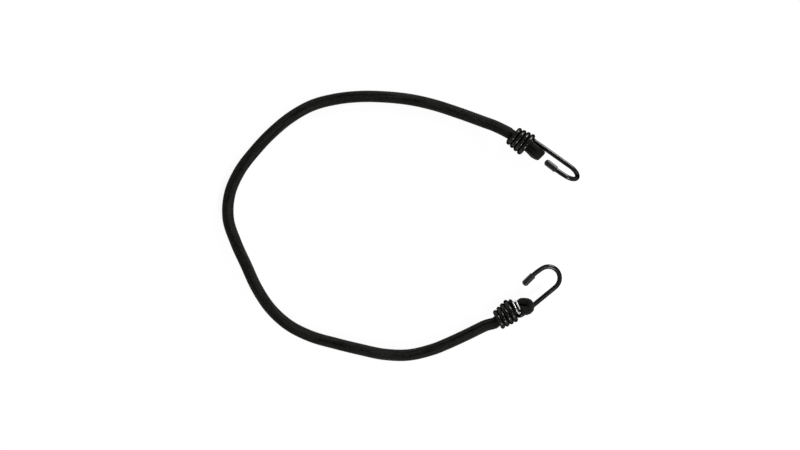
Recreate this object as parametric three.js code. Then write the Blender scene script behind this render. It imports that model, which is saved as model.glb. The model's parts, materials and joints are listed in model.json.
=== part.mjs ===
// A bungee cord lying in an open ring: a braided jacket round rubber strands, and at each end
// the cord is threaded through the coil of a wire hook, folded back as a loop and clipped.
// Millimetres, +Z up. The cord lies on the plane z = 0, seen from above.

import * as THREE from 'three';

// Cord
const cordDiameter = 8;
const jacketWall = 1.2;
const restingFlat = 0.8;
const strandCount = 4;
const strandSides = 6;
const jacketSides = 11;
const neckLength = 30;
const stretchStep = 16;

// Cord end, drawn in by the coil, pressed flat where it is folded and thinnest under the clip
const drawnIn = 0.6;
const squashInFold = 0.75;
const squashUnderClip = 0.48;
const foldWall = 0.9;
const foldRadius = 3.3;
const foldSides = 12;
const foldSteps = 40;

// Wire hook
const wireDiameter = 3.1;
const wireSides = 8;
const wireStep = 1.9;
const coilTurns = 3.85;
const coilTaper = 2;
const coilEndAngle = -38;
const coilPointsPerTurn = 20;
const shankBendRadius = 3.2;
const hookLength = 43;
const hookBendRadius = 8.85;
const hookBendSide = -2.9;
const legLength = 6;
const tipTurn = 9;

// Tip cap
const capWall = 0.45;
const capLength = 10;
const capInsertion = 8;
const capRimRound = 0.3;
const capSides = 12;

// Clip round the folded neck
const clipWireDiameter = 1;
const clipTurns = 1.2;
const clipSpacing = 2.4;
const clipSides = 6;
const clipSteps = 40;
const clipCornerPower = 2.4;

// Clearances
const faceGap = 0.3;
const fitClearance = 0.3;
const strandGap = 0.3;
const coilGrip = 0.4;
const turnGap = 0.4;
const coilMouthClearance = 0.7;
const straightLead = 1.5;
const leastWindingGap = 0.4;

// Sizes that follow from those above
const cordRadius = cordDiameter / 2;
const boreRadius = cordRadius - jacketWall;
// Adjacent strands lie strandGap apart on a ring that clears the bore
const strandSpread = 2 * Math.sin(Math.PI / strandCount);
const strandRadius = (strandSpread * (boreRadius - fitClearance) - strandGap) / (strandSpread + 2);
const strandOffset = boreRadius - fitClearance - strandRadius;
const wireRadius = wireDiameter / 2;
const coilPitch = wireDiameter + turnGap;
const coilLength = coilTurns * coilPitch;
const foldBreadth = cordDiameter - drawnIn;
const coilNarrowRadius = foldBreadth / 2 + coilGrip + wireRadius;
const coilWideRadius = coilNarrowRadius + coilTaper;
const hookReach = coilLength + hookLength;
const capBore = wireRadius + fitClearance;
const capRadius = capBore + capWall;
const mouthPlane = -wireRadius - coilMouthClearance;
const lyingHeight = cordRadius - restingFlat;
const foldThickness = cordDiameter * squashInFold;
const neckThickness = cordDiameter * squashUnderClip;
const neckOffset = (neckThickness + fitClearance) / 2;

// Finishes
const finishes = {
  jacket: { color: 0x1b1b1c, roughness: 0.85, metalness: 0 },
  strand: { color: 0xcdbb95, roughness: 0.7, metalness: 0 },
  wire: { color: 0x161616, roughness: 0.28, metalness: 0.4 },
  cap: { color: 0x1e1e1e, roughness: 0.6, metalness: 0 },
  clip: { color: 0xd4d4d2, roughness: 0.25, metalness: 1 },
};

// Each end: where the coil starts on its axis, how the axis points, how the hook and the fold are
// rolled about it, and the fold's route. A point of that route holds its place along the axis from
// the coil's wide end, across the fold and off the fold's plane, and the share of the cord's
// diameter that it is squashed to there.
const ends = {
  a: {
    coilStart: [82.23, 66.01, 8.53],
    heading: -33.9,
    pitch: 1.6,
    hookRoll: -56,
    foldRoll: -90,
    lead: [[-7.6, 0, 0, 0.9], [-4.2, -0.9, 0, 0.69]],
    clipCentre: [-0.7, 0, 0],
    clipTilt: 0,
    clipStart: 50,
    foldCentre: [7.4, 0, -0.75],
    foldTurn: 0,
    swell: [5.4, 2.9, -0.6, 0.65],
    cutEnd: [-3.6, 2.5, 0, 0.53],
  },
  b: {
    coilStart: [72.02, -69.89, 9.09],
    heading: 36,
    pitch: 0.8,
    hookRoll: 191,
    foldRoll: -28,
    lead: [[-5, 0, 0.1, 0.9], [-1.4, -0.9, 0.3, 0.7]],
    clipCentre: [3.5, -0.5, 0.5],
    clipTilt: -15,
    clipStart: 50,
    foldCentre: [8.8, -3.9, 0],
    foldTurn: -40,
    swell: [8.2, 0.3, 0.1, 0.68],
    cutEnd: [0.3, 4.1, 0.4, 0.6],
  },
};

// The cord's route between the two coil mouths, from end a to end b
const lying = (x, y) => [x, y, lyingHeight];
const route = [
  [69.8, 72.9, 6.5], [60.8, 76.5, 4.5], [52, 79.9, 3.4],
  lying(43.6, 82.9), lying(26.1, 88.6), lying(8.1, 92.7), lying(-10.3, 94.7), lying(-28.8, 95.1),
  lying(-47.2, 93.2), lying(-65, 88.5), lying(-81.1, 79.5), lying(-95.4, 67.6), lying(-107.5, 54.7),
  lying(-118.6, 40), lying(-125.9, 23.2), lying(-127.1, 4.8), lying(-121.5, -12.8),
  lying(-113.8, -29.8), lying(-106, -46.6), lying(-95.7, -62), lying(-82, -74.3),
  lying(-65.5, -82.5), lying(-47.7, -87.6), lying(-29.7, -92), lying(-11.6, -95.7),
  lying(6.9, -96.1), lying(24.9, -91.8), [33.2, -88.5, 3.4],
  [41.5, -84.7, 4.1], [50, -80.5, 5.5], [57, -76.8, 7.1], [63.2, -73.7, 8.4],
];

// Handle of a cubic curve that follows a quarter circle, in radii
const quarterTurnHandle = 0.55;

const degrees = THREE.MathUtils.degToRad;
const vector = (point) => new THREE.Vector3(...point);

// A part of a longer curve, measured along it in millimetres
class Stretch extends THREE.Curve {
  constructor(whole, from, to) {
    super();
    this.whole = whole;
    this.from = from;
    this.to = to;
  }

  getPoint(t, target = new THREE.Vector3()) {
    const along = THREE.MathUtils.lerp(this.from, this.to, t);
    return this.whole.getPointAt(along / this.whole.getLength(), target);
  }
}

const curveDivisions = 3000;

function smoothCurve(points) {
  const curve = new THREE.CatmullRomCurve3(points, false, 'centripetal');
  curve.arcLengthDivisions = curveDivisions;
  return curve;
}

function ovalPoints(radiusX, radiusY, sides, centreX = 0, centreY = 0) {
  return Array.from({ length: sides }, (_, i) => {
    const angle = (2 * Math.PI * i) / sides;
    return new THREE.Vector2(centreX + radiusX * Math.cos(angle), centreY + radiusY * Math.sin(angle));
  });
}

function carry(shape, path, steps) {
  return new THREE.ExtrudeGeometry(shape, { steps, extrudePath: path, curveSegments: 1 });
}

function makeMesh(name, geometry, finish) {
  const mesh = new THREE.Mesh(geometry, new THREE.MeshStandardMaterial(finishes[finish]));
  mesh.name = name;
  return mesh;
}

// Jacket section of the lying cord: a circle with its underside cut flat, and a round bore.
// The section's x axis points down.
function lyingJacketShape() {
  const flatAngle = Math.acos((cordRadius - restingFlat) / cordRadius);
  const outline = Array.from({ length: jacketSides + 1 }, (_, i) => {
    const angle = flatAngle + ((2 * Math.PI - 2 * flatAngle) * i) / jacketSides;
    return new THREE.Vector2(cordRadius * Math.cos(angle), cordRadius * Math.sin(angle));
  });
  const shape = new THREE.Shape(outline);
  shape.holes.push(new THREE.Path(ovalPoints(boreRadius, boreRadius, jacketSides + 1)));
  return shape;
}

// Section of one rubber strand of the lying cord
function strandShape(index) {
  const angle = (2 * Math.PI * (index + 0.5)) / strandCount;
  return new THREE.Shape(ovalPoints(
    strandRadius, strandRadius, strandSides, strandOffset * Math.cos(angle), strandOffset * Math.sin(angle)));
}

// One lying stretch of cord: its jacket and its strands on the same path
function addCordStretch(parent, name, path, steps) {
  parent.add(makeMesh(`jacket_${name}`, carry(lyingJacketShape(), path, steps), 'jacket'));
  for (let i = 0; i < strandCount; i++) {
    parent.add(makeMesh(`strand_${name}_${i + 1}`, carry(strandShape(i), path, steps), 'strand'));
  }
}

// Least distance between windings of a wire, surface to surface, measured on points of its centreline
function leastGap(points, turnPoints, diameter) {
  let least = Infinity;
  for (let i = 0; i < points.length; i++) {
    for (let j = i + turnPoints; j < points.length; j++) {
      least = Math.min(least, points[i].distanceTo(points[j]));
    }
  }
  return least - diameter;
}

function reportGap(name, gap) {
  const verdict = gap > leastWindingGap ? 'clear' : 'too close';
  console.log(`${name}: least gap between windings ${gap.toFixed(2)} mm, ${verdict}`);
}

// Coil of the hook wire, wound left-handed and widening towards the hook, as points on its centreline
function coilPoints() {
  const count = coilTurns * coilPointsPerTurn;
  return Array.from({ length: count + 1 }, (_, i) => {
    const turn = i / coilPointsPerTurn;
    const angle = degrees(coilEndAngle - 360 * (coilTurns - turn));
    const radius = THREE.MathUtils.lerp(coilNarrowRadius, coilWideRadius, turn / coilTurns);
    return new THREE.Vector3(coilPitch * turn, radius * Math.cos(angle), -radius * Math.sin(angle));
  });
}

// The whole hook wire from its free end in the coil to the tip under the cap,
// with x along the coil's axis and the hook bent in a plane of constant z
function hookCentreline() {
  const points = coilPoints();
  const coilEnd = points.at(-1);
  const angle = degrees(coilEndAngle);
  const round = new THREE.Vector3(0, -Math.sin(angle), -Math.cos(angle));
  const along = new THREE.Vector3(1, 0, 0);
  const shankStart = coilEnd.clone().addScaledVector(round, shankBendRadius)
    .addScaledVector(along, shankBendRadius);
  const handle = quarterTurnHandle * shankBendRadius;
  const shankBend = new THREE.CubicBezierCurve3(
    coilEnd,
    coilEnd.clone().addScaledVector(round, handle),
    shankStart.clone().addScaledVector(along, -handle),
    shankStart);
  const shankBendSteps = 6;
  points.push(...shankBend.getPoints(shankBendSteps).slice(1));

  const bendX = hookReach - hookBendRadius;
  const plane = shankStart.z;
  const bendStart = new THREE.Vector3(bendX, hookBendSide + hookBendRadius, plane);
  points.push(shankStart.clone().lerp(bendStart, 1 / 3), shankStart.clone().lerp(bendStart, 2 / 3));
  const bendSteps = 9;
  for (let i = 0; i <= bendSteps; i++) {
    const turn = Math.PI / 2 - (Math.PI * i) / bendSteps;
    points.push(new THREE.Vector3(
      bendX + hookBendRadius * Math.cos(turn), hookBendSide + hookBendRadius * Math.sin(turn), plane));
  }

  const legDirection = new THREE.Vector3(-1, 0, 0);
  const tipDirection = legDirection.clone().applyAxisAngle(new THREE.Vector3(0, 0, 1), -degrees(tipTurn));
  const legEnd = points.at(-1).clone().addScaledVector(legDirection, legLength);
  points.push(points.at(-1).clone().lerp(legEnd, 0.5), legEnd);
  const tipSteps = 3;
  for (let i = 1; i <= tipSteps; i++) {
    points.push(legEnd.clone().addScaledVector(tipDirection, ((capInsertion + wireRadius) * i) / tipSteps));
  }
  return { points, tipDirection };
}

// Cap profile from the centre of its round tip to the bottom of its bore, about the Y axis
function capGeometry() {
  const profile = [];
  const domeSteps = 5;
  for (let i = 0; i <= domeSteps; i++) {
    const angle = (Math.PI / 2) * (1 - i / domeSteps);
    profile.push(new THREE.Vector2(
      capRadius * Math.cos(angle), capLength - capRadius + capRadius * Math.sin(angle)));
  }
  profile[0].x = 0;
  profile.push(new THREE.Vector2(capRadius, capRimRound), new THREE.Vector2(capRadius - capRimRound / 2, 0));
  profile.push(new THREE.Vector2(capBore, 0), new THREE.Vector2(capBore, capInsertion + fitClearance));
  profile.push(new THREE.Vector2(0, capInsertion + fitClearance));
  return new THREE.LatheGeometry(profile.reverse(), capSides);
}

function makeHook(side, end) {
  const hook = new THREE.Group();
  hook.rotation.x = degrees(end.hookRoll);
  const { points, tipDirection } = hookCentreline();
  reportGap(`hook_${side}`, leastGap(points, coilPointsPerTurn / 2, wireDiameter));
  const path = smoothCurve(points);
  const wireShape = new THREE.Shape(ovalPoints(wireRadius, wireRadius, wireSides));
  const steps = Math.round(path.getLength() / wireStep);
  hook.add(makeMesh(`hook_${side}`, carry(wireShape, path, steps), 'wire'));

  const cap = makeMesh(`tip_cap_${side}`, capGeometry(), 'cap');
  cap.position.copy(points.at(-1)).addScaledVector(tipDirection, -capInsertion);
  cap.quaternion.setFromUnitVectors(new THREE.Vector3(0, 1, 0), tipDirection);
  hook.add(cap);
  return hook;
}

const fromCoilEnd = ([along, ...rest]) => [coilLength + along, ...rest];
const pressedPoint = ([along, across, off, squash]) => (
  [coilLength + along, across, off, cordDiameter * squash]);

// Route of the folded end: in from the mouth, under the clip, round the fold, back under the clip
// to the cut end. It keeps near the plane z = 0, and each point carries the cord's thickness.
function foldRoute(end) {
  const tilt = degrees(end.clipTilt);
  const [clipX, clipY, clipZ] = fromCoilEnd(end.clipCentre);
  const neck = (side, along) => [
    clipX + along * Math.cos(tilt) - side * neckOffset * Math.sin(tilt),
    clipY + along * Math.sin(tilt) + side * neckOffset * Math.cos(tilt),
    clipZ,
    neckThickness];
  const halfNeck = clipSpacing / 2;
  const [foldX, foldY, foldZ] = fromCoilEnd(end.foldCentre);
  const bend = [];
  const bendSteps = 8;
  for (let i = 0; i <= bendSteps; i++) {
    const angle = -Math.PI / 2 + (Math.PI * i) / bendSteps + degrees(end.foldTurn);
    bend.push([
      foldX + foldRadius * Math.cos(angle), foldY + foldRadius * Math.sin(angle), foldZ, foldThickness]);
  }
  const mouth = [mouthPlane + faceGap, 0, 0, foldBreadth];
  return [
    mouth, ...end.lead.map(pressedPoint), neck(-1, -halfNeck), neck(-1, halfNeck), ...bend,
    pressedPoint(end.swell), neck(1, halfNeck), neck(1, -halfNeck), pressedPoint(end.cutEnd)];
}

// A solid carried along such a route. Contours are an outline and perhaps a hole, in shares of the
// cord's half thickness across the fold and of its half breadth off the fold's plane.
function pressedSolid(stations, contours) {
  const curve = new THREE.CatmullRomCurve3(stations.map((s) => vector(s.slice(0, 3))), false, 'centripetal');
  const thicknesses = new THREE.SplineCurve(stations.map((s) => new THREE.Vector2(0, s[3])));
  const ringSize = contours.flat().length;
  const positions = [];
  for (let i = 0; i <= foldSteps; i++) {
    const share = i / foldSteps;
    const centre = curve.getPoint(share);
    const tangent = curve.getTangent(share);
    const across = new THREE.Vector3(-tangent.y, tangent.x, 0).normalize();
    const off = new THREE.Vector3().crossVectors(tangent, across);
    const halfThickness = thicknesses.getPoint(share).y / 2;
    for (const point of contours.flat()) {
      const place = centre.clone().addScaledVector(across, point.x * halfThickness)
        .addScaledVector(off, (point.y * foldBreadth) / 2);
      positions.push(...place.toArray());
    }
  }
  const triangles = [];
  let first = 0;
  contours.forEach((contour, c) => {
    const inward = c > 0;
    for (let i = 0; i < foldSteps; i++) {
      for (let j = 0; j < contour.length; j++) {
        const here = i * ringSize + first + j;
        const next = i * ringSize + first + ((j + 1) % contour.length);
        const quad = inward ? [next, here, here + ringSize, next + ringSize]
          : [here, next, next + ringSize, here + ringSize];
        triangles.push(quad[0], quad[1], quad[2], quad[0], quad[2], quad[3]);
      }
    }
    first += contour.length;
  });
  const lastRing = foldSteps * ringSize;
  for (const [a, b, c] of THREE.ShapeUtils.triangulateShape(contours[0], contours.slice(1))) {
    triangles.push(c, b, a, lastRing + a, lastRing + b, lastRing + c);
  }
  const geometry = new THREE.BufferGeometry();
  geometry.setAttribute('position', new THREE.Float32BufferAttribute(positions, 3));
  geometry.setIndex(triangles);
  geometry.computeVertexNormals();
  return geometry;
}

// Clip wire: a little more than one turn round the two thicknesses of the folded cord
function clipCurve(end) {
  const acrossRadius = neckOffset + neckThickness / 2 + fitClearance + clipWireDiameter / 2;
  const offPlaneRadius = foldBreadth / 2 + 2 * fitClearance + clipWireDiameter / 2;
  const tilt = new THREE.Quaternion().setFromAxisAngle(new THREE.Vector3(0, 0, 1), degrees(end.clipTilt));
  const centre = vector(fromCoilEnd(end.clipCentre));
  const points = [];
  for (let i = 0; i <= clipSteps; i++) {
    const share = i / clipSteps;
    const angle = degrees(end.clipStart) + 2 * Math.PI * clipTurns * share;
    const round = (value) => Math.sign(value) * Math.abs(value) ** (2 / clipCornerPower);
    const point = new THREE.Vector3(
      clipSpacing * (share - 0.5) * clipTurns,
      acrossRadius * round(Math.cos(angle)),
      offPlaneRadius * round(Math.sin(angle)));
    points.push(point.applyQuaternion(tilt).add(centre));
  }
  return points;
}

function makeFold(side, end) {
  const fold = new THREE.Group();
  fold.rotation.x = degrees(end.foldRoll);
  const stations = foldRoute(end);
  const boreAcross = 1 - foldWall / (neckThickness / 2);
  const boreOff = 1 - foldWall / (foldBreadth / 2);
  const jacket = pressedSolid(stations, [ovalPoints(1, 1, foldSides), ovalPoints(boreAcross, boreOff, foldSides)]);
  fold.add(makeMesh(`jacket_loop_${side}`, jacket, 'jacket'));
  for (let i = 0; i < strandCount; i++) {
    const angle = (2 * Math.PI * (i + 0.5)) / strandCount;
    const radius = strandRadius / boreRadius;
    const offset = strandOffset / boreRadius;
    const outline = ovalPoints(boreAcross * radius, boreOff * radius, strandSides,
      boreAcross * offset * Math.cos(angle), boreOff * offset * Math.sin(angle));
    fold.add(makeMesh(`strand_loop_${side}_${i + 1}`, pressedSolid(stations, [outline]), 'strand'));
  }

  const clipPoints = clipCurve(end);
  reportGap(`clip_${side}`, leastGap(clipPoints, Math.round(clipSteps / clipTurns / 2), clipWireDiameter));
  const clipShape = new THREE.Shape(
    ovalPoints(clipWireDiameter / 2, clipWireDiameter / 2, clipSides));
  fold.add(makeMesh(`clip_${side}`, carry(clipShape, smoothCurve(clipPoints), clipSteps * 2), 'clip'));
  return fold;
}

function makeEnd(side) {
  const end = ends[side];
  const group = new THREE.Group();
  group.rotation.order = 'ZYX';
  group.rotation.set(0, -degrees(end.pitch), degrees(end.heading));
  group.position.set(...end.coilStart);
  group.add(makeHook(side, end), makeFold(side, end));
  group.updateMatrixWorld();
  return group;
}

function makeCord(endGroups) {
  const cord = new THREE.Group();
  const axisPoint = (group, x) => group.localToWorld(new THREE.Vector3(x, 0, 0));
  const mouths = [endGroups.a, endGroups.b].map((group) => axisPoint(group, mouthPlane));
  const leads = [endGroups.a, endGroups.b].map((group) => axisPoint(group, mouthPlane - straightLead));
  const path = smoothCurve([mouths[0], leads[0], ...route.map(vector), leads[1], mouths[1]]);
  const length = path.getLength();
  console.log(`cord: ${length.toFixed(1)} mm between the coil mouths`);
  const samples = path.getSpacedPoints(Math.round(length));
  const leftmost = Math.min(...samples.map((point) => point.x));
  const middle = (samples.findIndex((point) => point.x === leftmost) / (samples.length - 1)) * length;
  const halfGap = faceGap / 2;
  const stretches = {
    neck_a: [0, neckLength - halfGap],
    run_a: [neckLength + halfGap, middle - halfGap],
    run_b: [middle + halfGap, length - neckLength - halfGap],
    neck_b: [length - neckLength + halfGap, length],
  };
  for (const [name, [from, to]] of Object.entries(stretches)) {
    const steps = Math.ceil((to - from) / stretchStep);
    addCordStretch(cord, name, new Stretch(path, from, to), steps);
  }
  return cord;
}

const endGroups = { a: makeEnd('a'), b: makeEnd('b') };
const bungee = new THREE.Group();
bungee.add(endGroups.a, endGroups.b, makeCord(endGroups));

// The origin is on the plane that the cord lies on, under the middle of its outline
const outline = new THREE.Box3().setFromObject(bungee, true);
const outlineMiddle = outline.getCenter(new THREE.Vector3());
bungee.position.set(-outlineMiddle.x, -outlineMiddle.y, -outline.min.z);

export default bungee;
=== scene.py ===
import json

import bpy
import numpy as np
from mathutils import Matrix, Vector


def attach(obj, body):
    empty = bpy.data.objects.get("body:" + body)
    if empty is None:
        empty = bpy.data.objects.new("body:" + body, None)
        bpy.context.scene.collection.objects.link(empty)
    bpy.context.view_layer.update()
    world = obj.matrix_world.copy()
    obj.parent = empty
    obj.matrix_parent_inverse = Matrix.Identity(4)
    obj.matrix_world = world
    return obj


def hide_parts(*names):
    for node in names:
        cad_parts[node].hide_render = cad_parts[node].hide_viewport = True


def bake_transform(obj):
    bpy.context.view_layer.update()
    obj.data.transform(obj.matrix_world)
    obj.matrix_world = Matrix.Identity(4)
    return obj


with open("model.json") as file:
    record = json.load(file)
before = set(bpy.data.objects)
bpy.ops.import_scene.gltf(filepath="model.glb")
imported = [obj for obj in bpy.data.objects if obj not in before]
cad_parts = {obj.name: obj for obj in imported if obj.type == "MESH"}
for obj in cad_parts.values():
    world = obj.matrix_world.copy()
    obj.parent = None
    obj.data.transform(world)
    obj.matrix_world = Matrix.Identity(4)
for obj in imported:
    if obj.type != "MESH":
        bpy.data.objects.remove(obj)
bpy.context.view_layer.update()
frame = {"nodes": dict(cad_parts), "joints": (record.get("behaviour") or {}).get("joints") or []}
mm = 0.001  # lengths below are in metres, unless a note says millimetres
upward = np.array([0.0, 0.0, 1.0])
forward = np.array([1.0, 0.0, 0.0])
joints = {joint["name"]: joint for joint in frame["joints"]}
print("frame loaded,", len(frame["nodes"]), "solids")


# Paths

def splineThrough(points, perSpan):  # centripetal Catmull-Rom curve, its end points mirrored outwards
    points = np.asarray(points, float)
    padded = np.vstack([2 * points[0] - points[1], points, 2 * points[-1] - points[-2]])
    p0, p1, p2, p3 = padded[:-3], padded[1:-2], padded[2:-1], padded[3:]
    spans = ((p0, p1), (p1, p2), (p2, p3))
    d0, d1, d2 = (np.sqrt(np.linalg.norm(end - start, axis=1))[:, None] for start, end in spans)
    m1 = d1 * ((p1 - p0) / d0 - (p2 - p0) / (d0 + d1) + (p2 - p1) / d1)
    m2 = d1 * ((p2 - p1) / d1 - (p3 - p1) / (d1 + d2) + (p3 - p2) / d2)
    t = np.linspace(0, 1, perSpan, endpoint=False)[None, :, None]
    p1, p2, m1, m2 = (each[:, None, :] for each in (p1, p2, m1, m2))
    curve = (p1 * (2 * t**3 - 3 * t**2 + 1) + m1 * (t**3 - 2 * t**2 + t)
             + p2 * (3 * t**2 - 2 * t**3) + m2 * (t**3 - t**2))
    return np.vstack([curve.reshape(-1, points.shape[1]), points[-1]])


def lengthsAlong(points):
    return np.concatenate([[0], np.cumsum(np.linalg.norm(np.diff(points[:, :3], axis=0), axis=1))])


def stationsAt(points, places):  # values of a dense curve at given lengths along it
    along = lengthsAlong(points)
    return np.stack([np.interp(places, along, column) for column in points.T], axis=1)


def unit(vectors):
    return vectors / np.linalg.norm(vectors, axis=-1, keepdims=True)


def levelFrames(points):  # sideways and upward directions of a path that keeps near level
    tangents = unit(np.gradient(points, axis=0))
    sideways = unit(np.cross(upward, tangents))
    return sideways, np.cross(tangents, sideways)


def carriedFrames(points):  # directions carried along a path with the least twist
    tangents = unit(np.gradient(points, axis=0))
    first = tangents[0]
    across = [unit(np.cross(first, first[[1, 2, 0]] + 0.3))]  # any direction square to the first tangent
    for tangent in tangents[1:]:
        across.append(unit(across[-1] - tangent * (across[-1] @ tangent)))
    across = np.array(across)
    return across, np.cross(tangents, across)


def turned(axis, degrees):  # matrix of a turn about x, y or z
    c, s = np.cos(np.radians(degrees)), np.sin(np.radians(degrees))
    i, j = (axis + 1) % 3, (axis + 2) % 3
    matrix = np.eye(3)
    matrix[i, i] = matrix[j, j] = c
    matrix[j, i], matrix[i, j] = s, -s
    return matrix


def planeDirections(degrees):  # unit directions in the xy plane
    angles = np.radians(degrees)
    return np.stack([np.cos(angles), np.sin(angles), np.zeros_like(angles)], axis=-1)


# Sections and meshes

def roundAngles(sides):
    return np.linspace(0, 2 * np.pi, sides, endpoint=False)


def superOval(angles, power):  # |x|^power + |y|^power = 1
    c, s = np.cos(angles), np.sin(angles)
    return np.stack([np.sign(c) * np.abs(c) ** (2 / power), np.sign(s) * np.abs(s) ** (2 / power)], axis=-1)


def unitCircle(sides):
    return superOval(roundAngles(sides), 2.0)


def sweptGrid(centres, across, off, profile):  # place = centre + across * profile x + off * profile y
    return centres[:, None] + across[:, None] * profile[..., :1] + off[:, None] * profile[..., 1:]


def sweptTube(centres, across, off, radii, sides):  # a round section whose radius follows the path
    return sweptGrid(centres, across, off, unitCircle(sides)[None] * radii[:, None, None])


def gridFaces(rows, sides, closedAlong):
    ring = np.arange(rows * sides).reshape(rows, sides)
    beside = np.roll(ring, -1, axis=1)
    ahead, aheadBeside = np.roll(ring, -1, axis=0), np.roll(beside, -1, axis=0)
    quads = np.stack([ring, beside, aheadBeside, ahead], axis=-1)
    return quads if closedAlong else quads[:-1]


def linkMesh(name, points, faces, smooth):
    mesh = bpy.data.meshes.new(name)
    mesh.from_pydata(points.tolist(), [], faces)
    mesh.polygons.foreach_set("use_smooth", smooth)
    made = bpy.data.objects.new(name, mesh)
    bpy.context.scene.collection.objects.link(made)
    return made


def addWeaveMap(mesh, quads, weave):  # u counts cells round the tube, v counts cells along it
    cellsRound, cellsAlong = weave
    column = np.arange(quads.shape[1])
    u = np.stack([column, column + 1, column + 1, column], axis=-1) * cellsRound / len(column)
    ahead = np.roll(cellsAlong, -1)
    v = np.stack([cellsAlong, cellsAlong, ahead, ahead], axis=-1)
    body = np.stack(np.broadcast_arrays(u[None], v[:, None]), axis=-1)[:len(quads)].reshape(-1, 2)
    cover = np.zeros((len(mesh.loops), 2))
    cover[:len(body)] = body
    mesh.uv_layers.new(name="weave").data.foreach_set("uv", cover.ravel())


def gridMesh(name, grid, weave=None, closedAlong=False, poles=(None, None), flatRows=()):
    # rows of the grid follow the path and columns go round it; a pole closes the first or the last row
    rows, sides = grid.shape[:2]
    quads = gridFaces(rows, sides, closedAlong)
    points = grid.reshape(-1, 3)
    faces = quads.reshape(-1, 4).tolist()
    for row, pole, turn in ((0, poles[0], 1), (rows - 1, poles[1], -1)):
        if pole is not None:
            ring = np.arange(row * sides, (row + 1) * sides)
            tip = np.full(sides, len(points))
            points = np.vstack([points, pole])
            faces += np.stack([tip, np.roll(ring, -1), ring][::turn], axis=1).tolist()
    smooth = np.ones(len(faces), bool)
    for row in flatRows:
        smooth[row * sides:(row + 1) * sides] = False
    made = linkMesh(name, points, faces, smooth)
    if weave is not None:
        addWeaveMap(made.data, quads, weave)
    made.data.update()
    return made


def joinedGrids(name, grids):  # several tubes as one mesh, each closed by a flat face at both ends
    points, faces, start = [], [], 0
    for grid in grids:
        rows, sides = grid.shape[:2]
        ring = np.arange(sides)
        points.append(grid.reshape(-1, 3))
        faces += (gridFaces(rows, sides, False).reshape(-1, 4) + start).tolist()
        faces += [(ring[::-1] + start).tolist(), (ring + start + (rows - 1) * sides).tolist()]
        start += rows * sides
    made = linkMesh(name, np.vstack(points), faces, np.array([len(face) == 4 for face in faces]))
    made.data.update()
    return made


# Material nodes

def startMaterial(name):
    made = bpy.data.materials.new(name)
    made.use_nodes = True
    return made, made.node_tree, made.node_tree.nodes["Principled BSDF"]


def addNode(tree, kind, **settings):
    made = tree.nodes.new(kind)
    for key, value in settings.items():
        setattr(made, key, value)
    return made


def feed(tree, socket, value):  # a number is set on the socket, anything else is linked to it
    if isinstance(value, (int, float)):
        socket.default_value = value
    else:
        tree.links.new(value, socket)


def calc(tree, operation, first, second=0.0):
    made = addNode(tree, "ShaderNodeMath", operation=operation)
    feed(tree, made.inputs[0], first)
    feed(tree, made.inputs[1], second)
    return made.outputs[0]


def threeAsOne(tree, x, y, z=0.0):
    made = addNode(tree, "ShaderNodeCombineXYZ")
    for socket, value in zip(made.inputs, (x, y, z)):
        feed(tree, socket, value)
    return made.outputs[0]


def noiseAt(tree, place, scale, detail):
    made = addNode(tree, "ShaderNodeTexNoise")
    made.inputs["Scale"].default_value = scale
    made.inputs["Detail"].default_value = detail
    tree.links.new(place, made.inputs["Vector"])
    return made.outputs["Fac"]


def objectNoise(tree, scale, detail):
    return noiseAt(tree, addNode(tree, "ShaderNodeTexCoord").outputs["Object"], scale, detail)


def ramp(tree, value, stops):  # stops are (place, colour)
    made = addNode(tree, "ShaderNodeValToRGB")
    for element, (place, colour) in zip(made.color_ramp.elements, stops):
        element.position = place
        element.color = (*colour, 1)
    tree.links.new(value, made.inputs["Fac"])
    return made.outputs["Color"]


def spread(tree, value, low, high):  # 0..1 mapped to low..high
    made = addNode(tree, "ShaderNodeMapRange")
    made.inputs["To Min"].default_value = low
    made.inputs["To Max"].default_value = high
    tree.links.new(value, made.inputs["Value"])
    return made.outputs["Result"]


def bump(tree, shader, height, distance, strength):
    made = addNode(tree, "ShaderNodeBump")
    made.inputs["Distance"].default_value = distance
    made.inputs["Strength"].default_value = strength
    tree.links.new(height, made.inputs["Height"])
    tree.links.new(made.outputs["Normal"], shader.inputs["Normal"])


# Braided jacket: black yarns with fine filaments, a tone for each yarn, and painted sheen as lighter bands
# along the cord

braidFinish = {
    "filaments": (9.0, 0.6), "filamentShift": 7.3, "sheenStreaks": (1.6, 0.05), "detail": 2.0,
    "sheenShare": 0.7, "filamentShare": 0.2, "yarnShare": 0.1,
    "tones": ((0.37, (0.0012, 0.0012, 0.001)), (0.62, (0.0175, 0.0175, 0.015))),
    "roughness": (0.46, 0.64), "gloss": 0.08, "fuzz": 0.00025, "fuzzStrength": 0.7,
}


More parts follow.
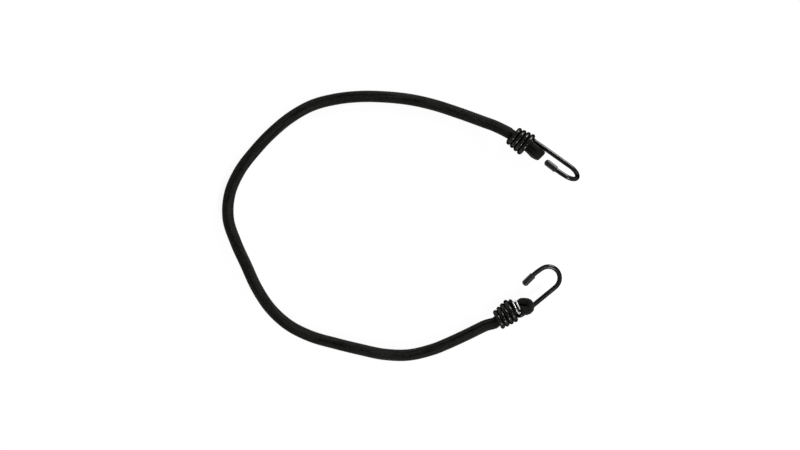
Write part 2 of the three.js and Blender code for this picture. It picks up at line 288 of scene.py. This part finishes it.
def makeBraid():  # yarns lie on the diagonals u + v and u - v of the weave map, over two and under two
    finish = braidFinish
    made, tree, shader = startMaterial("braidedJacket")
    parts = addNode(tree, "ShaderNodeSeparateXYZ")
    tree.links.new(addNode(tree, "ShaderNodeUVMap", uv_map="weave").outputs["UV"], parts.inputs[0])
    u, v = parts.outputs[0], parts.outputs[1]
    rising, falling = calc(tree, "ADD", u, v), calc(tree, "SUBTRACT", u, v)
    cells = calc(tree, "ADD", calc(tree, "FLOOR", rising), calc(tree, "FLOOR", falling))
    over = calc(tree, "GREATER_THAN", calc(tree, "FLOORED_MODULO", cells, 4.0), 1.5)
    under = calc(tree, "SUBTRACT", 1.0, over)

    def ofUpperYarn(whenUnder, whenOver):
        lower = calc(tree, "MULTIPLY", whenUnder, under)
        return calc(tree, "ADD", lower, calc(tree, "MULTIPLY", whenOver, over))

    acrossYarn, alongYarn = ofUpperYarn(falling, rising), ofUpperYarn(rising, falling)
    filamentPlace = threeAsOne(tree, calc(tree, "MULTIPLY", acrossYarn, finish["filaments"][0]),
                               calc(tree, "MULTIPLY", alongYarn, finish["filaments"][1]),
                               calc(tree, "MULTIPLY", over, finish["filamentShift"]))
    filaments = noiseAt(tree, filamentPlace, 1.0, finish["detail"])
    yarn = addNode(tree, "ShaderNodeTexWhiteNoise", noise_dimensions="2D")
    tree.links.new(threeAsOne(tree, calc(tree, "FLOOR", acrossYarn), over), yarn.inputs["Vector"])
    # painted sheen: lighter bands along the cord, laid into the base colour
    sheenPlace = threeAsOne(tree, calc(tree, "MULTIPLY", u, finish["sheenStreaks"][0]),
                             calc(tree, "MULTIPLY", v, finish["sheenStreaks"][1]))
    sheenStreaks = noiseAt(tree, sheenPlace, 1.0, finish["detail"])
    fine = calc(tree, "ADD", calc(tree, "MULTIPLY", filaments, finish["filamentShare"]),
                calc(tree, "MULTIPLY", yarn.outputs["Value"], finish["yarnShare"]))
    tone = calc(tree, "ADD", calc(tree, "MULTIPLY", sheenStreaks, finish["sheenShare"]), fine)
    tree.links.new(ramp(tree, tone, finish["tones"]), shader.inputs["Base Color"])
    tree.links.new(spread(tree, filaments, *finish["roughness"]), shader.inputs["Roughness"])
    shader.inputs["Specular IOR Level"].default_value = finish["gloss"]
    bump(tree, shader, filaments, finish["fuzz"], finish["fuzzStrength"])
    return made


# Other finishes: noise scale and detail of the colour patches, of the roughness grain and of the pits

surfaceFinishes = {
    "hookCoat": {  # black plating on the hook wire, with dark edges
        "patches": (260.0, 3.0), "tones": ((0.3, (0.034, 0.034, 0.034)), (0.75, (0.046, 0.046, 0.043))),
        "grain": (500.0, 3.0), "roughness": (0.20, 0.28), "metallic": 1.0, "edgeTint": 0.12},
    "dippedVinyl": {  # soft cap on the wire's tip
        "patches": (400.0, 3.0), "tones": ((0.3, (0.004, 0.004, 0.004)), (0.75, (0.009, 0.009, 0.008))),
        "grain": (900.0, 3.0), "roughness": (0.32, 0.44),
        "pits": (1800.0, 2.0), "pitDepth": 0.00002, "pitStrength": 0.4},
    "brightZinc": {  # plated clip wire
        "patches": (1500.0, 4.0), "tones": ((0.25, (0.62, 0.62, 0.63)), (0.75, (0.86, 0.86, 0.85))),
        "grain": (2600.0, 3.0), "roughness": (0.40, 0.50), "metallic": 1.0},
    "latexThread": {  # natural rubber of the core
        "patches": (1100.0, 3.0), "tones": ((0.25, (0.42, 0.33, 0.20)), (0.8, (0.62, 0.52, 0.36))),
        "grain": (2000.0, 3.0), "roughness": (0.5, 0.75),
        "pits": (3000.0, 3.0), "pitDepth": 0.00005, "pitStrength": 0.5},
}


def makeSurface(name):
    finish = surfaceFinishes[name]
    made, tree, shader = startMaterial(name)
    patches, grain = objectNoise(tree, *finish["patches"]), objectNoise(tree, *finish["grain"])
    tree.links.new(ramp(tree, patches, finish["tones"]), shader.inputs["Base Color"])
    tree.links.new(spread(tree, grain, *finish["roughness"]), shader.inputs["Roughness"])
    shader.inputs["Metallic"].default_value = finish.get("metallic", 0.0)
    edgeTint = finish.get("edgeTint", 1.0)
    shader.inputs["Specular Tint"].default_value = (edgeTint, edgeTint, edgeTint, 1)
    if "pits" in finish:
        bump(tree, shader, objectNoise(tree, *finish["pits"]), finish["pitDepth"], finish["pitStrength"])
    return made


materials = {"braidedJacket": makeBraid(), **{name: makeSurface(name) for name in surfaceFinishes}}


def finishPiece(made, material, slot, *nodes):
    made.data.materials.append(materials[material])
    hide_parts(*nodes)
    return made


print("materials made")

# Ends: how each coil points, and the route of the folded cord in it, in millimetres from the coil's wide
# end: along the axis, across the fold, off its plane, and the cord's squashed thickness

endSettings = {
    "a": {"heading": -33.9, "pitch": 1.6, "hookRoll": -56, "foldRoll": -90,
          "lead": ((-7.6, 0, 0, 7.2), (-4.2, -0.9, 0, 5.5)),
          "clipCentre": (-0.7, 0, 0), "clipTilt": 0,
          "foldCentre": (7.7, 0, -1.05), "foldTurn": 0, "swell": (5.6, 2.9, -0.65, 5.2),
          "cutEnd": (-3.6, 2.5, 0, 4.2), "breadth": 8.5, "corner": 5.0, "skew": 0.19},
    "b": {"heading": 36, "pitch": 0.8, "hookRoll": 191, "foldRoll": -28,
          "lead": ((-5, 0, 0.1, 7.2), (-1.4, -0.9, 0.3, 5.6)),
          "clipCentre": (3.5, -0.5, 0.5), "clipTilt": -15,
          "foldCentre": (8.8, -3.9, 0), "foldTurn": -40, "swell": (8.0, 0.8, 0.1, 5.8),
          "cutEnd": (0.7, 5.9, 0.4, 5.6), "breadth": 7.4, "corner": 2.6, "skew": 0.0},
}
mouthJoint = 2.1 * mm  # the twist joint's place before the coil's narrow end
coilLength = 13.475  # millimetres


def endTurn(side, roll=0):
    settings = endSettings[side]
    return turned(2, settings["heading"]) @ turned(1, -settings["pitch"]) @ turned(0, roll)


def axisPlace(side, along):  # a point on the coil's axis, from its narrow end
    return np.array(joints[f"hook_{side}_twist"]["pos_m"]) + endTurn(side)[:, 0] * (mouthJoint + along)


def inEnd(side, roll, placesMm):  # millimetres in an end's own turned frame to metres in the row frame
    return axisPlace(side, 0.0) + np.asarray(placesMm) * mm @ endTurn(side, roll).T


# Cord: the braided jacket and its core between the two coil mouths

cordSettings = {
    "diameter": 0.008, "crown": 0.00432, "wall": 0.0012, "lying": 0.0032, "yarns": 12, "cell": 0.0017,
    "relief": 0.0003, "sides": 84, "ringStep": 0.00041, "innerStep": 0.006, "neckLength": 0.055,
    "stretchFrom": -0.080, "stretchTo": 0.080, "bendHalf": 0.014, "bendPlace": 0.030, "mouthGap": 0.002,
    "straightLead": 0.0015, "pointsPerSpan": 40,
}
threadSettings = {"radius": 0.00048, "ringRadii": (0.0, 0.0011, 0.0021), "ringCounts": (1, 6, 11),
                  "sides": 6, "step": 0.004, "solids": 4}
boreRadius = cordSettings["diameter"] / 2 - cordSettings["wall"]
coilStartA = (0.08223, 0.06601, 0.00853)  # narrow end of coil a, in the frame of the route's points
lying = cordSettings["lying"]
route = [
    (0.0698, 0.0729, 0.0065), (0.0608, 0.0765, 0.0045), (0.0520, 0.0799, 0.0034), (0.0436, 0.0829, lying),
    (0.0261, 0.0886, lying), (0.0081, 0.0927, lying), (-0.0103, 0.0947, lying), (-0.0288, 0.0951, lying),
    (-0.0472, 0.0932, lying), (-0.0650, 0.0885, lying), (-0.0811, 0.0795, lying), (-0.0954, 0.0676, lying),
    (-0.1075, 0.0547, lying), (-0.1186, 0.0400, lying), (-0.1259, 0.0232, lying), (-0.1271, 0.0048, lying),
    (-0.1215, -0.0128, lying), (-0.1138, -0.0298, lying), (-0.1060, -0.0466, lying),
    (-0.0957, -0.0620, lying), (-0.0820, -0.0743, lying), (-0.0655, -0.0825, lying),
    (-0.0477, -0.0876, lying), (-0.0297, -0.0920, lying), (-0.0116, -0.0957, lying),
    (0.0069, -0.0961, lying), (0.0249, -0.0918, lying), (0.0332, -0.0885, 0.0034),
    (0.0415, -0.0847, 0.0041), (0.0500, -0.0805, 0.0055), (0.0570, -0.0768, 0.0071),
    (0.0632, -0.0737, 0.0084),
]
frameShift = axisPlace("a", 0.0) - np.array(coilStartA)
mouthPlane = -cordSettings["mouthGap"]
leadPlane = mouthPlane - cordSettings["straightLead"]
cordCurve = splineThrough(np.vstack([
    axisPlace("a", mouthPlane), axisPlace("a", leadPlane), np.array(route) + frameShift,
    axisPlace("b", leadPlane), axisPlace("b", mouthPlane)]), cordSettings["pointsPerSpan"])
cordLength = lengthsAlong(cordCurve)[-1]
print(f"cord {cordLength * 1000:.1f} mm between the coil mouths")


def braidRelief(u, v):
    # u cells round, v along; a yarn floats over two and dives under two, so that floats stand in columns:
    # height = |sin across the yarn|^0.5 * |sin along its float|^0.7
    rising, falling = u + v, u - v
    place = (np.floor(rising) + np.floor(falling)) % 4
    across = np.where(place < 2, falling, rising)
    along = np.where(place < 2, rising + np.floor(falling), falling + np.floor(rising)) / 2
    return np.abs(np.sin(np.pi * across)) ** 0.5 * np.abs(np.sin(np.pi * along)) ** 0.7


def cordTube(places, radii):  # rings square to the cord; each radius belongs to one place and one angle
    around = np.clip(np.stack([places - mm, places, places + mm]), 0, cordLength)
    before, centres, after = stationsAt(cordCurve, around.ravel()).reshape(3, -1, 3)
    tangents = unit(after - before)
    sideways = unit(np.cross(upward, tangents))
    profile = unitCircle(radii.shape[1])[None] * radii[..., None]
    return sweptGrid(centres, sideways, np.cross(tangents, sideways), profile)


def makeStretch(name, start, end):  # woven tube wall on a stretch of the cord
    settings = cordSettings
    length, sides = end - start, settings["sides"]
    outerPlaces = np.linspace(start, end, int(round(length / settings["ringStep"])) + 1)
    innerPlaces = np.linspace(end, start, int(round(length / settings["innerStep"])) + 1)
    u = settings["yarns"] * roundAngles(sides) / (2 * np.pi)
    raised = braidRelief(u[None], outerPlaces[:, None] / settings["cell"])
    outer = cordTube(outerPlaces, settings["crown"] - settings["relief"] * (1 - raised))
    outer[..., 2] = np.maximum(outer[..., 2], 0.0)  # the cord is pressed flat where it rests
    inner = cordTube(innerPlaces, np.full((len(innerPlaces), sides), boreRadius))
    places = np.concatenate([outerPlaces, innerPlaces])
    weave = (settings["yarns"], places / settings["cell"])
    return gridMesh(name, np.concatenate([outer, inner]), weave, closedAlong=True,
                    flatRows=(len(outerPlaces) - 1, len(places) - 1))


def threadOffsets():  # rings of threads round the middle one
    rings = zip(threadSettings["ringRadii"], threadSettings["ringCounts"])
    return np.vstack([unitCircle(count) * radius for radius, count in rings])


def makeCore(name, start, end):  # latex threads inside the jacket on the same stretch
    places = np.linspace(start, end, int((end - start) / threadSettings["step"]) + 1)
    centres = stationsAt(cordCurve, places)
    sideways, upwards = levelFrames(centres)
    circle = unitCircle(threadSettings["sides"]) * threadSettings["radius"]
    return joinedGrids(name, [sweptGrid(centres, sideways, upwards, (circle + offset)[None])
                              for offset in threadOffsets()])


def strandNodes(*stretches):
    counts = range(1, threadSettings["solids"] + 1)
    return [f"strand_{stretch}_{count}" for stretch in stretches for count in counts]


neckLength, bendPlace, bendHalf = (cordSettings[key] for key in ("neckLength", "bendPlace", "bendHalf"))
cordPieces = {  # start and end are lengths along the cord, or points
    "cordMiddle": {"from": neckLength, "to": cordLength - neckLength, "bodies": ("cord_b", "cord_a"),
                   "start": (0, cordSettings["stretchFrom"], 0), "end": (0, cordSettings["stretchTo"], 0),
                   "stretches": ("run_a", "run_b")},
    "cordNeckA": {"from": 0.0, "to": neckLength, "bodies": ("cord_a", "neck_a"),
                  "start": bendPlace + bendHalf, "end": bendPlace - bendHalf, "stretches": ("neck_a",)},
    "cordNeckB": {"from": cordLength - neckLength, "to": cordLength, "bodies": ("cord_b", "neck_b"),
                  "start": cordLength - bendPlace - bendHalf, "end": cordLength - bendPlace + bendHalf,
                  "stretches": ("neck_b",)},
}


for name, settings in cordPieces.items():
    start, end, stretches = settings["from"], settings["to"], settings["stretches"]
    jacket = makeStretch(name, start, end)
    core = makeCore(name.replace("cord", "core"), start, end)
    finishPiece(jacket, "braidedJacket", "braided_jacket", *(f"jacket_{each}" for each in stretches))
    finishPiece(core, "latexThread", "rubber_strand", *strandNodes(*stretches))
    for piece in (jacket, core):
        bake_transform(piece)
print("cord made")

# Folded ends: the cord inside the coil, squashed, folded back under the clip and cut, in millimetres

foldSettings = {
    "radius": 3.05, "foldThickness": 6.5, "neckThickness": 4.1, "neckOffset": 2.07, "clipSpacing": 2.4,
    "bendSteps": 8, "sides": 96, "ringStep": 0.3, "relief": 0.28, "yarns": 12, "cell": 1.6, "power": 2.4,
    "mouth": -1.95, "plug": 1.2, "plugShare": 0.65, "mouthBreadth": 8.1, "settling": 8.0,
    "wrinkle": 0.16, "wrinkleStep": 1.5,
    "lip": ((0.06, 0.12), (0.16, 0.05), (0.3, -0.35)), "lipCells": 0.05,
    "coreBreadth": 7.4, "coreInset": 0.9, "coreEvery": 4,
}


def foldStations(side):  # mouth, lead, under the clip, half circle, swell, back under the clip, cut
    end, fold = endSettings[side], foldSettings
    toEnd = np.array([coilLength, 0, 0, 0])
    clip = np.array(end["clipCentre"]) + toEnd[:3]
    clipTurn = turned(2, end["clipTilt"])

    def neck(way, along):
        place = clip + clipTurn @ [along * fold["clipSpacing"] / 2, way * fold["neckOffset"], 0]
        return [*place, fold["neckThickness"]]

    angles = np.linspace(-90, 90, fold["bendSteps"] + 1) + end["foldTurn"]
    bend = np.array(end["foldCentre"]) + toEnd[:3] + fold["radius"] * planeDirections(angles)
    bend = np.column_stack([bend, np.full(len(bend), fold["foldThickness"])])
    lead, swell, cut = (np.array(end[key]) + toEnd for key in ("lead", "swell", "cutEnd"))
    mouth = [fold["mouth"] - fold["plug"], 0, 0, fold["mouthBreadth"]]
    return np.array([mouth, *lead, neck(-1, -1), neck(-1, 1), *bend, swell, neck(1, 1), neck(1, -1), cut])


def foldProfile(side, places, thickness, across):
    # superellipse of the cord's thickness and breadth, less the weave's relief and the bend's wrinkles
    fold, end = foldSettings, endSettings[side]
    angles = roundAngles(fold["sides"])
    u, v = fold["yarns"] * angles / (2 * np.pi), places / fold["cell"]
    curving = np.linalg.norm(np.gradient(across, places, axis=0), axis=1)
    bending = np.clip(curving * fold["radius"], 0, 1)[:, None]
    outline = superOval(angles[None], fold["power"] + (end["corner"] - fold["power"]) * bending)
    settled = np.clip((places - fold["plug"]) / fold["settling"], 0, 1)[:, None]
    breadth = fold["mouthBreadth"] + (end["breadth"] - fold["mouthBreadth"]) * settled
    inside = np.clip(np.cos(angles), 0, 1)[None]  # the fold turns towards its across direction
    waves = 0.5 - 0.5 * np.cos(2 * np.pi * places / fold["wrinkleStep"])[:, None]
    wrinkles = fold["wrinkle"] * bending * inside * waves
    drop = fold["relief"] * (1 - braidRelief(u[None], v[:, None])) + wrinkles
    plug = np.where(places < fold["plug"], fold["plugShare"], 1.0)  # the start fits in the neck's jacket
    halves = np.stack([thickness[:, None] / 2 - drop, breadth / 2 - drop], axis=-1)
    return outline * halves * plug[:, None, None]


def leanedLoop(side, grid):  # the loop's end leans off the fold's plane, more so further from the clip
    clipX = coilLength + endSettings[side]["clipCentre"][0]
    reach = np.clip((grid[..., 0] - clipX) / (grid[..., 0].max() - clipX), 0, 1)
    return grid + (endSettings[side]["skew"] * grid[..., 2] * reach)[..., None] * forward


def makeFold(side):
    fold, roll = foldSettings, endSettings[side]["foldRoll"]
    curve = splineThrough(foldStations(side), cordSettings["pointsPerSpan"])
    length = lengthsAlong(curve)[-1]
    places = np.linspace(0, length, int(length / fold["ringStep"]) + 1)
    stations = stationsAt(curve, places)
    centres, thickness = stations[:, :3], stations[:, 3]
    across, off = levelFrames(centres)
    grid = leanedLoop(side, sweptGrid(centres, across, off, foldProfile(side, places, thickness, across)))
    last, outward = grid[-1], np.cross(across[-1], off[-1])
    lip = [last + (centres[-1] - last) * share + outward * rise for share, rise in fold["lip"]]
    pole = centres[-1] + outward * fold["lip"][-1][1]
    v = places / fold["cell"]
    v = np.concatenate([v, v[-1] + fold["lipCells"] * np.arange(1, len(lip) + 1)])
    jacket = gridMesh(f"fold{side.upper()}", inEnd(side, roll, np.concatenate([grid, np.array(lip)])),
                      (fold["yarns"], v), poles=(inEnd(side, roll, centres[0]), inEnd(side, roll, pole)))
    finishPiece(jacket, "braidedJacket", "braided_jacket", f"jacket_loop_{side}")
    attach(jacket, f"end_{side}")
    # threads keep their places in the bore while it is squashed
    breadth = np.full(len(places), fold["coreBreadth"])
    squeeze = np.stack([thickness, breadth], axis=-1)[:, None] / 2 - fold["coreInset"]
    circle = unitCircle(threadSettings["sides"]) * threadSettings["radius"]
    threads = [sweptGrid(centres, across, off, (circle + offset)[None] / boreRadius * squeeze)
               for offset in threadOffsets()]
    core = joinedGrids(f"coreFold{side.upper()}",
                       [inEnd(side, roll, thread[::fold["coreEvery"]]) for thread in threads])
    finishPiece(core, "latexThread", "rubber_strand", *strandNodes(f"loop_{side}"))
    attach(core, f"end_{side}")


for side in endSettings:
    makeFold(side)
print("folds made")

# Hooks: conical coil, shank, round bend, leg and tip, in millimetres

hookSettings = {
    "wireRadius": 1.72, "turns": 3.85, "narrow": 5.65, "wide": 7.65, "endAngle": -38, "pointsPerTurn": 20,
    "shankBend": 3.2, "handle": 0.55, "length": 43.0, "bendRadius": 8.85, "bendSide": -2.9, "leg": 6.0,
    "tipTurn": 9, "tip": 9.55, "sides": 28, "step": 0.45, "pointsPerSpan": 16, "frameSteps": 600,
    "shankBendSteps": 5, "bendSteps": 12, "nearby": 0.1,
    "chamfer": 0.35, "startPlaces": (0, 0, 0.3, 1), "startDrop": (1.6, 1.0, 0.3, 0.0),
    "endDrop": (0.0, 0.3, 1.0),
}


def coilPoints():  # x = pitch * turn, y = r cos, z = -r sin
    hook = hookSettings
    turns = np.linspace(0, hook["turns"], int(round(hook["turns"] * hook["pointsPerTurn"])) + 1)
    angles = np.radians(hook["endAngle"] - 360 * (hook["turns"] - turns))
    radii = hook["narrow"] + (hook["wide"] - hook["narrow"]) * turns / hook["turns"]
    pitch = coilLength / hook["turns"]
    return np.stack([pitch * turns, radii * np.cos(angles), -radii * np.sin(angles)], axis=1)


def hookRoute():  # the coil, a Bezier bend out of it, then straights and a half circle in one plane
    hook = hookSettings
    coil = coilPoints()
    coilEnd, last = coil[-1], np.radians(hook["endAngle"])
    roundward = np.array([0, -np.sin(last), -np.cos(last)])
    size, handle = hook["shankBend"], hook["shankBend"] * hook["handle"]
    shankStart = coilEnd + (roundward + forward) * size
    t = np.linspace(0, 1, hook["shankBendSteps"] + 1)[1:, None]
    shankBend = (coilEnd * (1 - t)**3 + (coilEnd + roundward * handle) * 3 * t * (1 - t)**2
                 + (shankStart - forward * handle) * 3 * t**2 * (1 - t) + shankStart * t**3)
    bendX = coilLength + hook["length"] - hook["bendRadius"]
    centre = np.array([bendX, hook["bendSide"], shankStart[2]])
    bend = centre + hook["bendRadius"] * planeDirections(np.linspace(90, -90, hook["bendSteps"] + 1))
    thirds = np.array([1, 2, 3])[:, None] / 3
    shank = shankStart + (bend[0] - shankStart) * thirds[:2]
    tipDirection = planeDirections(180 - hook["tipTurn"])
    legEnd = bend[-1] - hook["leg"] * forward
    tip = legEnd + tipDirection * hook["tip"] * thirds
    return np.vstack([coil, shankBend, shank, bend, legEnd, tip]), tipDirection


def makeWire(side, points):
    hook, roll = hookSettings, endSettings[side]["hookRoll"]
    curve = splineThrough(points, hook["pointsPerSpan"])
    length = lengthsAlong(curve)[-1]
    chamfer, nearby = hook["chamfer"], hook["nearby"]
    body = np.linspace(2 * chamfer, length - 2 * chamfer, int(length / hook["step"]))
    startPlaces = np.array(hook["startPlaces"]) * chamfer
    places = np.concatenate([startPlaces, body, length - startPlaces[:0:-1]])
    drops = np.concatenate([hook["startDrop"], np.zeros(len(body)), hook["endDrop"]])
    dense = stationsAt(curve, np.linspace(0, length, hook["frameSteps"]))
    across = stationsAt(np.column_stack([dense, carriedFrames(dense)[0]]), places)[:, 3:]
    centres = stationsAt(curve, places)
    ahead, behind = (stationsAt(curve, np.clip(places + step, 0, length)) for step in (nearby, -nearby))
    tangents = unit(ahead - behind)
    across = unit(across - tangents * np.sum(across * tangents, axis=1, keepdims=True))
    radii = hook["wireRadius"] - chamfer * drops
    grid = sweptTube(centres, across, np.cross(tangents, across), radii, hook["sides"])
    made = gridMesh(f"hookWire{side.upper()}", inEnd(side, roll, grid),
                    poles=(inEnd(side, roll, centres[0]), inEnd(side, roll, centres[-1])))
    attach(finishPiece(made, "hookCoat", "hook_wire", f"hook_{side}"), f"end_{side}")


# Tip caps: rolled rim, straight side and a half ellipse over the tip, in millimetres

capSettings = {
    "insertion": 8.0, "length": 10.0, "radius": 2.45, "rim": 1.78, "sides": 40, "domeLength": 1.96,
    "domeEnd": 84, "domeSteps": 12, "rimRoll": ((0.45, 0.0), (0.1, 0.08), (0.0, 0.25)),
    "flank": ((0.04, -0.12), (0.2, 0.02), (0.6, 0.03), (2.0, -0.03), (4.5, -0.02)),
}


def capProfile():  # lengths along the cap, and its radius there
    cap = capSettings
    dome = np.radians(np.linspace(0, cap["domeEnd"], cap["domeSteps"]))
    domeAlong = cap["length"] - cap["domeLength"] * (1 - np.sin(dome))
    overTip = np.stack([domeAlong, cap["radius"] * np.cos(dome)], axis=1)
    rimRoll = np.array(cap["rimRoll"]) + [0, cap["rim"]]
    flank = np.array(cap["flank"]) + [0, cap["radius"]]
    return np.vstack([rimRoll, flank, overTip]).T


def makeCap(side, tip, tipDirection):
    cap, roll = capSettings, endSettings[side]["hookRoll"]
    along, radii = capProfile()
    base = tip - tipDirection * cap["insertion"]
    centres = base + along[:, None] * tipDirection
    across = np.tile(upward, (len(along), 1))
    grid = sweptTube(centres, across, np.cross(tipDirection, across), radii, cap["sides"])
    made = gridMesh(f"tipCap{side.upper()}", inEnd(side, roll, grid),
                    poles=(None, inEnd(side, roll, base + tipDirection * cap["length"])))
    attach(finishPiece(made, "dippedVinyl", "tip_cap", f"tip_cap_{side}"), f"end_{side}")


hookPoints, tipDirection = hookRoute()
for side in endSettings:
    makeWire(side, hookPoints)
    makeCap(side, hookPoints[-1], tipDirection)
print("hooks and caps made")

# Clips: a superellipse of bright wire, a little over one turn round the folded cord, in millimetres

clipSettings = {"wireRadius": 0.56, "turns": 1.24, "across": 4.79, "off": 4.8, "power": 2.4,
                "startAngle": 50, "sides": 16, "steps": 220, "endShare": 0.75}


def makeClip(side):
    clip, end = clipSettings, endSettings[side]
    share = np.linspace(0, 1, clip["steps"])
    angles = np.radians(clip["startAngle"] + 360 * clip["turns"] * share)
    oval = superOval(angles, clip["power"]) * np.array([clip["across"], clip["off"]])
    local = np.column_stack([foldSettings["clipSpacing"] * clip["turns"] * (share - 0.5), oval])
    curve = local @ turned(2, end["clipTilt"]).T + np.array(end["clipCentre"]) + coilLength * forward
    centres = stationsAt(curve, np.linspace(0, lengthsAlong(curve)[-1], clip["steps"]))
    radii = np.full(len(centres), clip["wireRadius"])
    radii[[0, -1]] *= clip["endShare"]
    grid = sweptTube(centres, *carriedFrames(centres), radii, clip["sides"])
    roll = end["foldRoll"]
    made = gridMesh(f"clipWire{side.upper()}", inEnd(side, roll, grid),
                    poles=(inEnd(side, roll, centres[0]), inEnd(side, roll, centres[-1])))
    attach(finishPiece(made, "brightZinc", "clip_wire", f"clip_{side}"), f"end_{side}")


for side in endSettings:
    makeClip(side)
print("clips made")

# Stage: white floor, soft lamps and a camera straight above

stageSettings = {
    "floorSize": 60.0, "floorDrop": 0.00005, "floorGlow": 0.9, "floorGrain": (40.0, 3.0),
    "floorTones": ((0.2, (0.19, 0.19, 0.19)), (0.8, (0.2, 0.2, 0.2))), "floorRoughness": 0.8,
    "horizonLevel": 0.5, "zenithLevel": 0.09, "cameraHeight": 0.7032, "imageWidth": 0.592, "sensor": 36.0,
}
lampSettings = {
    "keyLamp": {"place": (0.67, 0.85, 0.41), "size": 0.40, "power": 9.0},
    "fillLamp": {"place": (0.31, -0.78, 0.59), "size": 0.16, "power": 4.2},
    "topLamp": {"place": (0.40, -0.20, 0.94), "size": 0.16, "power": 0.9},
}


def makeFloor():
    stage = stageSettings
    half = stage["floorSize"] / 2
    corners = np.array([(-half, -half, 0), (half, -half, 0), (half, half, 0), (-half, half, 0)])
    floor = linkMesh("floor", corners, [(0, 1, 2, 3)], np.zeros(1, bool))
    floor.location.z = -stage["floorDrop"]
    made, tree, shader = startMaterial("whiteFloor")
    grain = objectNoise(tree, *stage["floorGrain"])
    tree.links.new(ramp(tree, grain, stage["floorTones"]), shader.inputs["Base Color"])
    shader.inputs["Roughness"].default_value = stage["floorRoughness"]
    shader.inputs["Specular IOR Level"].default_value = 0.0
    rays = addNode(tree, "ShaderNodeLightPath").outputs  # the white shows to the eye, in metal and in glass
    mirrored = calc(tree, "MAXIMUM", rays["Is Glossy Ray"], rays["Is Transmission Ray"])
    seen = calc(tree, "MAXIMUM", rays["Is Camera Ray"], mirrored)
    shader.inputs["Emission Color"].default_value = (1, 1, 1, 1)
    tree.links.new(calc(tree, "MULTIPLY", seen, stage["floorGlow"]), shader.inputs["Emission Strength"])
    floor.data.materials.append(made)


def makeWorld():  # pale at the horizon, darker overhead
    world = bpy.data.worlds.new("whiteRoom")
    world.use_nodes = True
    tree = world.node_tree
    parts = addNode(tree, "ShaderNodeSeparateXYZ")
    tree.links.new(addNode(tree, "ShaderNodeTexCoord").outputs["Generated"], parts.inputs[0])
    level = spread(tree, parts.outputs["Z"], stageSettings["horizonLevel"], stageSettings["zenithLevel"])
    background = tree.nodes["Background"]
    background.inputs["Color"].default_value = (1, 1, 1, 1)
    tree.links.new(level, background.inputs["Strength"])
    bpy.context.scene.world = world


def makeLamp(name, settings):  # a square lamp that faces the origin
    lamp = bpy.data.lights.new(name, "AREA")
    lamp.size = settings["size"]
    lamp.energy = settings["power"]
    made = bpy.data.objects.new(name, lamp)
    made.location = settings["place"]
    made.rotation_euler = (-Vector(settings["place"])).to_track_quat("-Z", "Y").to_euler()
    bpy.context.scene.collection.objects.link(made)


def makeCamera():
    camera = bpy.data.cameras.new("camera")
    height = stageSettings["cameraHeight"]
    camera.sensor_width = stageSettings["sensor"]
    camera.lens = stageSettings["sensor"] * (height - cordSettings["lying"]) / stageSettings["imageWidth"]
    camera.clip_start = 0.01
    made = bpy.data.objects.new("camera", camera)
    made.location = (frameShift[0], frameShift[1], height)
    bpy.context.scene.collection.objects.link(made)
    bpy.context.scene.camera = made


makeFloor()
makeWorld()
for name, settings in lampSettings.items():
    makeLamp(name, settings)
makeCamera()
bpy.context.scene.view_settings.view_transform = "Standard"
print("stage made")
